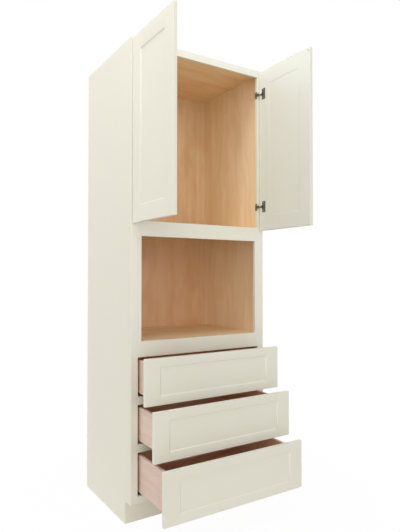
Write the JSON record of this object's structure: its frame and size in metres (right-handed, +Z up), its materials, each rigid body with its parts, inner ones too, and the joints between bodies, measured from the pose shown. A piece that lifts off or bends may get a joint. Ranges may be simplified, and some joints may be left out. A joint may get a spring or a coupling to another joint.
{
  "type": "tall oven cabinet",
  "caption": "Tall face-frame kitchen cabinet: hinged doors over an open bay for a built-in oven, with drawers on undermount slides below.",
  "frame": {"origin": "on the floor, in the middle of the face that stands against the wall", "axes": "+X to the right seen from the front, +Y towards the wall, +Z up"},
  "size_m": [0.8382, 1.0216, 2.4384],
  "materials": {
    "painted_wood": "satin cream paint",
    "veneered_plywood": "clear-lacquered maple veneer",
    "drawer_wood": "clear-lacquered pale wood",
    "hinge_steel": "grey passivated coat, dull",
    "slide_steel": "zinc plate",
    "screw_steel": "zinc plate",
    "socket_plastic": "moulded, grey",
    "bumper_rubber": "soft, cloudy"
  },
  "bodies": {
    "cabinet": {"side_panel_left": "painted_wood", "side_panel_right": "painted_wood", "back_panel": "veneered_plywood", "top_panel": "veneered_plywood", "upper_deck": "veneered_plywood", "oven_deck": "veneered_plywood", "oven_deck_cleats": "veneered_plywood", "bottom_panel": "veneered_plywood", "toe_board": "painted_wood", "frame_stiles": "painted_wood", "frame_top_rail": "painted_wood", "frame_oven_head": "painted_wood", "frame_oven_sill": "painted_wood", "frame_drawer_rails": "painted_wood", "oven_fillers": "painted_wood", "hinge_arms": "hinge_steel", "slide_channels": "slide_steel", "slide_brackets": "socket_plastic", "cabinet_screws": "screw_steel"},
    "door_left": {"door_left_stiles": "painted_wood", "door_left_rails": "painted_wood", "door_left_panel": "painted_wood", "door_left_hinge_cups": "hinge_steel", "door_left_hinge_pins": "hinge_steel", "door_left_hinge_screws": "screw_steel", "door_left_bumpers": "bumper_rubber"},
    "door_right": {"door_right_stiles": "painted_wood", "door_right_rails": "painted_wood", "door_right_panel": "painted_wood", "door_right_hinge_cups": "hinge_steel", "door_right_hinge_pins": "hinge_steel", "door_right_hinge_screws": "screw_steel", "door_right_bumpers": "bumper_rubber"},
    "drawer_top": {"drawer_top_front_stiles": "painted_wood", "drawer_top_front_rails": "painted_wood", "drawer_top_front_panel": "painted_wood", "drawer_top_front_screws": "screw_steel", "drawer_top_box_sides": "drawer_wood", "drawer_top_box_ends": "drawer_wood", "drawer_top_box_floor": "drawer_wood", "drawer_top_runners": "slide_steel"},
    "slide_links_top": {"slide_links_top": "slide_steel"},
    "drawer_middle": {"drawer_middle_front_stiles": "painted_wood", "drawer_middle_front_rails": "painted_wood", "drawer_middle_front_panel": "painted_wood", "drawer_middle_front_screws": "screw_steel", "drawer_middle_box_sides": "drawer_wood", "drawer_middle_box_ends": "drawer_wood", "drawer_middle_box_floor": "drawer_wood", "drawer_middle_runners": "slide_steel"},
    "slide_links_middle": {"slide_links_middle": "slide_steel"},
    "drawer_bottom": {"drawer_bottom_front_stiles": "painted_wood", "drawer_bottom_front_rails": "painted_wood", "drawer_bottom_front_panel": "painted_wood", "drawer_bottom_front_screws": "screw_steel", "drawer_bottom_box_sides": "drawer_wood", "drawer_bottom_box_ends": "drawer_wood", "drawer_bottom_box_floor": "drawer_wood", "drawer_bottom_runners": "slide_steel"},
    "slide_links_bottom": {"slide_links_bottom": "slide_steel"}
  },
  "joints": [
    {"name": "door_left_hinge", "type": "hinge", "parent": "cabinet", "child": "door_left", "pos_m": [-0.4026, -0.6206, 1.96588], "axis": [0, 0, -1], "range_deg": [-90, 15]},
    {"name": "door_right_hinge", "type": "hinge", "parent": "cabinet", "child": "door_right", "pos_m": [0.4026, -0.6206, 1.96588], "axis": [0, 0, 1], "range_deg": [-90, 15]},
    {"name": "drawer_top_slide", "type": "slide", "parent": "cabinet", "child": "drawer_top", "axis": [0, -1, 0], "range_m": [-0.117, 0.404]},
    {"name": "slide_links_top_slide", "type": "slide", "parent": "cabinet", "child": "slide_links_top", "axis": [0, -1, 0], "range_m": [-0.0585, 0.202]},
    {"name": "drawer_middle_slide", "type": "slide", "parent": "cabinet", "child": "drawer_middle", "axis": [0, -1, 0], "range_m": [-0.208, 0.313]},
    {"name": "slide_links_middle_slide", "type": "slide", "parent": "cabinet", "child": "slide_links_middle", "axis": [0, -1, 0], "range_m": [-0.104, 0.1565]},
    {"name": "drawer_bottom_slide", "type": "slide", "parent": "cabinet", "child": "drawer_bottom", "axis": [0, -1, 0], "range_m": [-0.3035, 0.2175]},
    {"name": "slide_links_bottom_slide", "type": "slide", "parent": "cabinet", "child": "slide_links_bottom", "axis": [0, -1, 0], "range_m": [-0.15175, 0.10875]}
  ],
  "couplings": [
    {"joint": "slide_links_top_slide", "follows": "drawer_top_slide", "ratio": 0.5},
    {"joint": "slide_links_middle_slide", "follows": "drawer_middle_slide", "ratio": 0.5},
    {"joint": "slide_links_bottom_slide", "follows": "drawer_bottom_slide", "ratio": 0.5}
  ]
}
